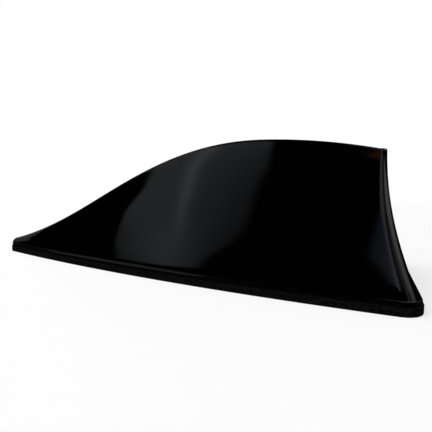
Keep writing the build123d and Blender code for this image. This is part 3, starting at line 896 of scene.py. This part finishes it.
# %% Former, chip, ferrite and ceramic
shader, place = finish("former_white", IOR=1.5)
mottled("former_white", shader, noise(place, 160.0, 4.0), 0.88, 1.05, 0.35, 0.2)
feed(shader, Normal=bump(noise(place, 2200.0), 0.15, 0.00005))
shader, place = finish("chip_black", IOR=1.5)
grain = noise(place, 4200.0, 2.0)
mottled("chip_black", shader, grain, 0.7, 1.4, 0.5, 0.2)
feed(shader, Normal=bump(grain, 0.3, 0.00004))
shader, place = finish("ferrite_grey", IOR=1.6)
speck = cells(place, 3200.0)
mottled("ferrite_grey", shader, speck, 0.7, 1.3, 0.4, 0.3)
feed(shader, Normal=bump(speck, 0.25, 0.00005))
shader, place = finish("ceramic_tan", IOR=1.6)
mottled("ceramic_tan", shader, noise(place, 3600.0, 3.0), 0.8, 1.2, 0.3, 0.25)
print("former, chip, ferrite and ceramic are set")

# %% [markdown]
# Finishes of the metals
#
# Zinc on the screws is dull with a faint bloom, tinned sheet carries fine rolling lines, and the coil's wire
# is copper under clear enamel. A stretched noise gives the rolling lines, where scratches drawn one by one
# would take many more nodes. All three are full metals, so their colour and roughness vary, and little else.

# %% Zinc, tin and enamelled copper
shader, place = finish("screw_steel", Metallic=1.0)
mottled("screw_steel", shader, noise(place, 900.0, 5.0, 0.6), 0.75, 1.15, 0.22, 0.3)
shader, place = finish("tinned_sheet", Metallic=1.0)
stretch = {"Vector": place, "Scale": (1.0, 24.0, 24.0)}
lines = noise(Wire.make(place.tree, "ShaderNodeMapping", None, stretch), 220.0, 3.0, 0.6)
feed(shader, Base_Color=shades("tinned_sheet", noise(place, 120.0, 3.0), 0.85, 1.1))
feed(shader, Roughness=lines * 0.25 + 0.22, Normal=bump(lines, 0.12, 0.00003))
shader, place = finish("coil_copper", Metallic=1.0, Coat_Weight=0.6, Coat_Roughness=0.12)
mottled("coil_copper", shader, noise(place, 700.0, 3.0), 0.75, 1.15, 0.24, 0.2)
print("finishes of the metals are set")

# %% [markdown]
# Dressing the solids
#
# Board, plate, foam, blade and the other moulded and punched pieces are right as the solids have them.
# Copies of their meshes would only add weight, so the solids stay and get their finish in their own slots.

# %% Dress the solids that stay
for name, node in nodes.items():
    for slot in node.material_slots:
        slot.material = finishes[slot_of[name]]
print("dressed:", {name: len(node.material_slots) for name, node in nodes.items()})

# %% [markdown]
# What stands for what
#
# The new fin, rim, seal, coil and screws take the place of solids, which stay behind for the collisions,
# hidden.
# A table gives the node that each piece stands for and the slot of its finish, and each piece rides on a
# body.
# Nothing on the aerial moves, so they all ride on the root.

# %% Say what stands for what
stands_for = {
    fin_skin: ("fin_cover", "gloss_black"),
    fin_rim: ("fin_cover", "gloss_black"),
    fin_inside: ("fin_cover", "gloss_black"),
    seal_band: ("base_seal", "seal_rubber"),
    coil_turns: ("loading_coil", "coil_copper"),
    screws_in_cover: ("cover_screws", "screw_steel"),
    screws_in_board: ("board_screws", "screw_steel"),
    screws_in_feet: ("holder_screws", "screw_steel"),
}
for piece, (node, slot) in stands_for.items():
    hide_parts(node)
    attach(piece, "root")
    print(piece.name, "stands for", node)

# %% [markdown]
# Studio
#
# A black mirror of a fin is lit by what it reflects, and not by how much light falls on it.
# So the photographer's room is built for reflections: dark cloth all round, and in front of it a window,
# a ceiling panel, a wall and a dim backdrop as flat cards. Only glossy rays see cloth and cards.
# The camera sees a white floor and a white background, and soft lamps light them and the matt pieces.

# %% A flat sheet for the stage
UNSEEN_BY = ("camera", "diffuse", "transmission", "volume_scatter", "shadow")


def flat_sheet(name, start, across, along):
    """One quad from a corner and two edges, with a map that runs from 0 to 1 across and along it."""
    start, across, along = Vector(start), Vector(across), Vector(along)
    mesh = bpy.data.meshes.new(name)
    corners = (start, start + across, start + across + along, start + along)
    mesh.from_pydata([corner[:] for corner in corners], [], [(0, 1, 2, 3)])
    layer = mesh.uv_layers.new(name="card")
    for loop, place in zip(layer.data, ((0, 0), (1, 0), (1, 1), (0, 1))):
        loop.uv = place
    piece = added(name, mesh)
    print(name, round(across.length, 3), "by", round(along.length, 3), "m")
    return piece


def only_reflected(piece):
    """Hides a stage piece from everything but reflections."""
    for ray in UNSEEN_BY:
        setattr(piece, "visible_" + ray, False)


print("cards will be unseen by", UNSEEN_BY)

# %% Cards that only reflections see
FULL_GLOW = 2.0
DAYLIGHT, WALL_WHITE = (0.93, 0.96, 1.0), (1.0, 1.0, 0.98)


def glow(name, rule, tint=DAYLIGHT):
    """A material that only shines, by a rule over the card's own width and height."""
    material = bpy.data.materials.new(name)
    tree = cleared(material)
    across, along, _ = split(Wire.make(tree, "ShaderNodeUVMap", {"uv_map": "card"}))
    dark = Wire.make(tree, "ShaderNodeEmission", None, {"Color": (0, 0, 0, 1)})
    light = Wire.make(tree, "ShaderNodeEmission", None, {"Color": (*tint, 1), "Strength": FULL_GLOW})
    level = rule(across, along) * (1 / FULL_GLOW)
    mixed = Wire.make(tree, "ShaderNodeMixShader", None, {0: level, 1: dark, 2: light})
    Wire.make(tree, "ShaderNodeOutputMaterial", None, {0: mixed}, None)
    return material


def card(name, start, across, along, rule, tint=DAYLIGHT):
    piece = flat_sheet(name, start, across, along)
    piece.data.materials.append(glow(name, rule, tint))
    only_reflected(piece)


def aim(azimuth, elevation):
    """Direction from the aerial by compass and height angles: 0 is behind the tail, -90 on the near side."""
    a, b = math.radians(azimuth), math.radians(elevation)
    return Vector((math.cos(b) * math.cos(a), math.cos(b) * math.sin(a), math.sin(b)))


print("near side is towards", [round(part, 1) for part in aim(-90, 0)])

# %% [markdown]
# Window to the left
#
# The broad pale patch on the fin's flank is a window, with a bright streak where its frame catches the light.
# A lamp would give a hard rectangle, so the window is a card whose brightness follows a rule.
# The rule counts in metres: side goes across the streak, and run goes along it.
# Outlines are straight lines, joined by soft maxima, so their corners are as round as in the reflection.

# %% Light and outline of the window
WINDOW_WIDTH, WINDOW_LEFT = 0.375, 0.165
WINDOW_LENGTH, WINDOW_BEFORE = 0.72, 0.45


def hill(distance):
    """A bell-shaped rise, 1 in its middle."""
    return 2.718 ** (distance * distance * -1)


def window_light(side, run):
    """Brightness: paler to the left, with a streak down the middle and a soft lift beside it."""
    streak = hill((side + 0.008 - run.math("MAXIMUM", 0.0) * 0.17) / 0.018)
    streak = streak * (1 - run.ease(-0.05, 0.22)) * 0.26
    level = 0.37 - side.ease(-0.01, 0.05) * 0.1 - side.ease(0.02, 0.2) * 0.15
    dim = 1 - (1 - side.ease(-0.16, -0.07)) * run.ease(0.05, 0.2) * 0.45
    lift = hill((side - 0.01) / 0.065) * run.ease(0.0, 0.2) * 0.2
    return (level * dim + streak + lift) * (1.02 - run * 1.5)


def window_opening(side, run):
    """1 inside the window's soft outline, and 0 outside it."""
    left = (run * 0.12 - 0.165).math("SMOOTH_MAX", run * -0.6 - 0.15, 0.06) - side
    corner = (side + run - 0.318) * 0.71
    far_end = (run + side * 0.1 - 0.232).math("SMOOTH_MAX", corner, 0.05)
    outside = far_end.math("SMOOTH_MAX", left, 0.03)
    right = (side - 0.184).math("SMOOTH_MAX", corner, 0.09)
    inside = (1 - outside.ease(-0.01, 0.008)) * (1 - right.ease(-0.025, 0.018))
    return inside * (1 - (side - run * 0.48).ease(0.262, 0.3))


print("window from", -WINDOW_LEFT, "to", round(WINDOW_WIDTH - WINDOW_LEFT, 3), "m across its streak")

# %% Hang the windows
WINDOW_AWAY, LEVEL_SHARE, STEEP_SHARE = 0.65, 0.766, 0.643


def window_rule(strength):
    def rule(across, along):
        side = across * WINDOW_WIDTH - WINDOW_LEFT
        run = along * WINDOW_LENGTH - WINDOW_BEFORE
        return window_light(side, run) * window_opening(side, run) * strength
    return rule


def mirror(place):
    """The same place on the other side of the aerial."""
    return Vector((place[0], -place[1], place[2]))


level_side = Vector((0.7071, -0.7071, 0))
steep_side = Vector((0.4353, 0.4353, 0.788))
along_streak = level_side * -LEVEL_SHARE + steep_side * STEEP_SHARE
over_streak = level_side * STEEP_SHARE + steep_side * LEVEL_SHARE
start = aim(-135, 38) * WINDOW_AWAY - along_streak * WINDOW_BEFORE - over_streak * WINDOW_LEFT
width, length = over_streak * WINDOW_WIDTH, along_streak * WINDOW_LENGTH
card("window", start, width, length, window_rule(1.0), (0.9, 0.94, 1.03))
card("far_window", mirror(start), mirror(width), mirror(length), window_rule(0.9))

# %% [markdown]
# Ceiling over the tail
#
# Low on the fin's tail corner lies a bluish glow with a dark wedge at its foot, as a ceiling between a wall
# and a beam would give. A plain card would light the whole corner, so the rule cuts it to a fan by lines.
# The far side gets the same panel, mirrored, so that the fin looks alike from there.

# %% Ceiling panels over both sides of the tail
CEILING_FAR, CEILING_WIDE, CEILING_LONG, CEILING_HIGH = 1.3, 1.1, 1.2, 0.6


def ceiling_rule(across, along):
    """A fan of light between a wall's edge on the left and a roof beam, brighter towards the beam."""
    x, y = across * CEILING_WIDE, along * CEILING_LONG - CEILING_FAR
    from_wall = (x + y * 0.387 + 0.066) * 0.93
    beam = x * 0.657 + y * 0.754
    near = y - x * 0.8 + 0.265
    far_off = (-0.28 - y).math("MAXIMUM", 0.0) * 0.5
    panel = from_wall.ease(0.0, 0.03) * (1 - near.ease(-0.015, 0.015))
    panel = panel * (1 - beam.ease(0.03, 0.05) * 0.78) * (1 - beam.ease(0.4, 0.5))
    return ((from_wall + far_off).ease(0.0, 0.15) * 0.45 + 0.09) * panel


for name, side in (("ceiling_panel", 1), ("far_ceiling_panel", -1)):
    start, length = (0, -CEILING_FAR * side, CEILING_HIGH), (0, CEILING_LONG * side, 0)
    card(name, start, (CEILING_WIDE, 0, 0), length, ceiling_rule, (0.8, 0.9, 1.12))

# %% [markdown]
# Walls
#
# The hollow tail shows a pale wall as a bright strip, and the ridge over the nose and the lip of the rim
# catch thin lines from the far end of the room. Lamps there would light the floor as well,
# so these are upright cards too: a wall behind the tail, a dim backdrop and a low strip beyond the nose.

# %% Walls behind the tail and beyond the nose
def soft_edges(across, along, side, end):
    """A mask that fades out at the card's sides and ends."""
    sides = across.ease(0, side) * (1 - across.ease(1 - side, 1))
    return sides * along.ease(0, end) * (1 - along.ease(1 - end, 1))


def standing_card(name, azimuth, distance, width, height, rule):
    """An upright card that faces the aerial from a compass direction."""
    side = aim(azimuth + 90, 0)
    start = aim(azimuth, 0) * distance - side * (width / 2)
    card(name, start, side * width, (0, 0, height), rule, WALL_WHITE)


def wall_rule(across, along):
    sides = across.ease(0.0, 0.25) * (1 - across.ease(0.5, 0.93))
    return sides * along.ease(0.0, 0.06) * (0.85 - along.ease(0.25, 0.7) * 0.65)


def backdrop_rule(across, along):
    """Lower towards the right, where the side of the fin would catch it."""
    height = 1 - across.ease(0.62, 0.82) * 0.42
    return soft_edges(across, along, 0.05, 0.02) * (1 - (along - height).ease(-0.03, 0.03)) * 0.17


def low_rule(across, along):
    return soft_edges(across, along, 0.12, 0.25) * 0.28


card("tail_wall", (0.6, -0.27, 0.2), (0, 0.72, 0), (0, 0, 0.8), wall_rule, WALL_WHITE)
standing_card("backdrop", 152, 0.9, 1.42, 0.75, backdrop_rule)
standing_card("low_light", -143, 0.9, 0.62, 0.23, low_rule)

# %% [markdown]
# Warm light at the tail's top
#
# In the upper tail corner sits a small brown triangle, the reflection of something warm in the room.
# It could be painted on the fin, but then it would stay there from every side.
# So a small warm card hangs over each side, cut to a triangle by a slanted line.

# %% Warm reflection at the top of the tail
def warm_rule(across, along):
    slant = 1 - (along - across * 0.75 - 0.25).ease(-0.08, 0.08)
    return across.ease(0.0, 0.9) * slant * soft_edges(across, along, 0.06, 0.15) * 0.3


for name, side in (("warm_card", 1), ("far_warm_card", -1)):
    start, width, length = (0.05, -0.42 * side, 0.215), (0.07, 0, 0), (0, -0.06 * side, 0.12)
    card(name, start, width, length, warm_rule, (1.0, 0.45, 0.18))

# %% [markdown]
# Dark cloth and table
#
# Between the cards the fin reflects a dark room, and below them a dark table, although it stands on white.
# A product photographer hangs black cloth for that. Here a large sphere and a sheet do it,
# with a trace of light in them, and they too are seen by reflections only.

# %% Hang the cloth and lay the table
CLOTH_RADIUS, CLOTH_LIGHT = 1.6, 0.002
TABLE_WIDE, TABLE_LIFT, TABLE_LIGHT = 3.0, 0.0002, 0.02
bpy.ops.mesh.primitive_uv_sphere_add(radius=CLOTH_RADIUS, segments=48, ring_count=24)
cloth = bpy.context.object
cloth.name = "dark_cloth"
cloth.data.uv_layers[0].name = "card"
cloth.data.materials.append(glow("dark_cloth", lambda across, along: CLOTH_LIGHT))
only_reflected(cloth)
corner = (-TABLE_WIDE / 2, -TABLE_WIDE / 2, TABLE_LIFT)
card("dark_table", corner, (TABLE_WIDE, 0, 0), (0, TABLE_WIDE, 0), lambda across, along: TABLE_LIGHT)
print("cloth hung", CLOTH_RADIUS, "m away")

# %% [markdown]
# White floor and background
#
# The photograph has the aerial on plain white. More lamps would burn it out and lift the black as well.
# So floor and background are white by themselves for the rays that look at them, and the lamps stay low.
# Close to the aerial the floor keeps some matt paper in the mix, which takes the aerial's shadow.

# %% White floor
FLOOR_HALF = 8


def seen_directly(tree):
    """1 for the rays by which the camera, a mirror or glass sees a surface."""
    ray = Wire.make(tree, "ShaderNodeLightPath")
    return (ray.other("Is Camera Ray") + ray.other("Is Glossy Ray") + ray.other("Is Transmission Ray")).held()


floor = flat_sheet("floor", (-FLOOR_HALF, -FLOOR_HALF, 0), (2 * FLOOR_HALF, 0, 0), (0, 2 * FLOOR_HALF, 0))
paper = bpy.data.materials.new("white_paper")
tree = cleared(paper)
place = Wire.make(tree, "ShaderNodeTexCoord", None, None, "Object")
distance = Wire.make(tree, "ShaderNodeVectorMath", {"operation": "LENGTH"}, {0: place}, "Value")
matt = Wire.make(tree, "ShaderNodeBsdfDiffuse", None, {"Color": (0.9, 0.9, 0.9, 1)})
white = Wire.make(tree, "ShaderNodeEmission", None, {"Color": (1, 1, 1, 1), "Strength": 1.0})
share = (distance.ease(0.1, 0.5) * 0.3 + 0.7) * seen_directly(tree)
mixed = Wire.make(tree, "ShaderNodeMixShader", None, {0: share, 1: matt, 2: white})
Wire.make(tree, "ShaderNodeOutputMaterial", None, {0: mixed}, None)
floor.data.materials.append(paper)

# %% White background
SEEN_LEVEL, LIT_LEVEL = 1.0, 0.5
world = bpy.data.worlds.new("studio")
bpy.context.scene.world = world
tree = cleared(world)
dim = Wire.make(tree, "ShaderNodeBackground", None, {"Color": (1, 1, 1, 1), "Strength": LIT_LEVEL})
full = Wire.make(tree, "ShaderNodeBackground", None, {"Color": (1, 1, 1, 1), "Strength": SEEN_LEVEL})
sky = Wire.make(tree, "ShaderNodeMixShader", None, {0: seen_directly(tree), 1: dim, 2: full})
Wire.make(tree, "ShaderNodeOutputWorld", None, {0: sky}, None)
print("background seen at", SEEN_LEVEL, "and giving light at", LIT_LEVEL)

# %% [markdown]
# Lamps
#
# The fin shows no lamp, but floor, rubber and the pieces inside need some plain light.
# A sun would draw hard shadows, so two large soft lamps do it: one from above on the left,
# and a weak one from beyond the nose. Neither shows in the gloss.

# %% Lamps for the floor and the matt pieces
def soft_lamp(name, place, size, power):
    lamp = bpy.data.lights.new(name, "AREA")
    lamp.size = size
    lamp.energy = power
    piece = added(name, lamp)
    piece.location = place
    piece.rotation_euler = (-Vector(place)).to_track_quat("-Z", "Y").to_euler()
    piece.visible_glossy = False
    print("lamp", name, power, "W")


soft_lamp("soft_key", (-0.7, -0.5, 1.0), 1.0, 12.5)
soft_lamp("nose_fill", (-0.8, 0.12, 0.2), 0.4, 3.0)

# %% [markdown]
# Camera
#
# The camera was fitted to the outline of the base: a wide lens close to the tail, a little below the peak.
# A longer lens from further off would flatten the sweep of the side, which runs away from the eye.
# The focal length is written in pixels of the 432 pixel frame and turned into millimetres of a 36 mm sensor.

# %% Camera at the photograph's place
SENSOR, FRAME_PIXELS, FOCAL_PIXELS = 36.0, 432.0, 390.0
LOOK_DOWN, LOOK_LEFT = 6.897, 19.664
lens = bpy.data.cameras.new("camera")
lens.sensor_width = SENSOR
lens.lens = FOCAL_PIXELS * SENSOR / FRAME_PIXELS
lens.clip_start = 0.005
camera = added("camera", lens)
camera.location = (0.06657, -0.13971, 0.03804)
camera.rotation_euler = (math.radians(90 - LOOK_DOWN), 0, math.radians(LOOK_LEFT))
bpy.context.scene.camera = camera
bpy.context.scene.view_settings.view_transform = "Standard"
print("lens", round(lens.lens, 2), "mm")

# %% [markdown]
# The aerial's size
#
# The looks must not change the aerial's size.
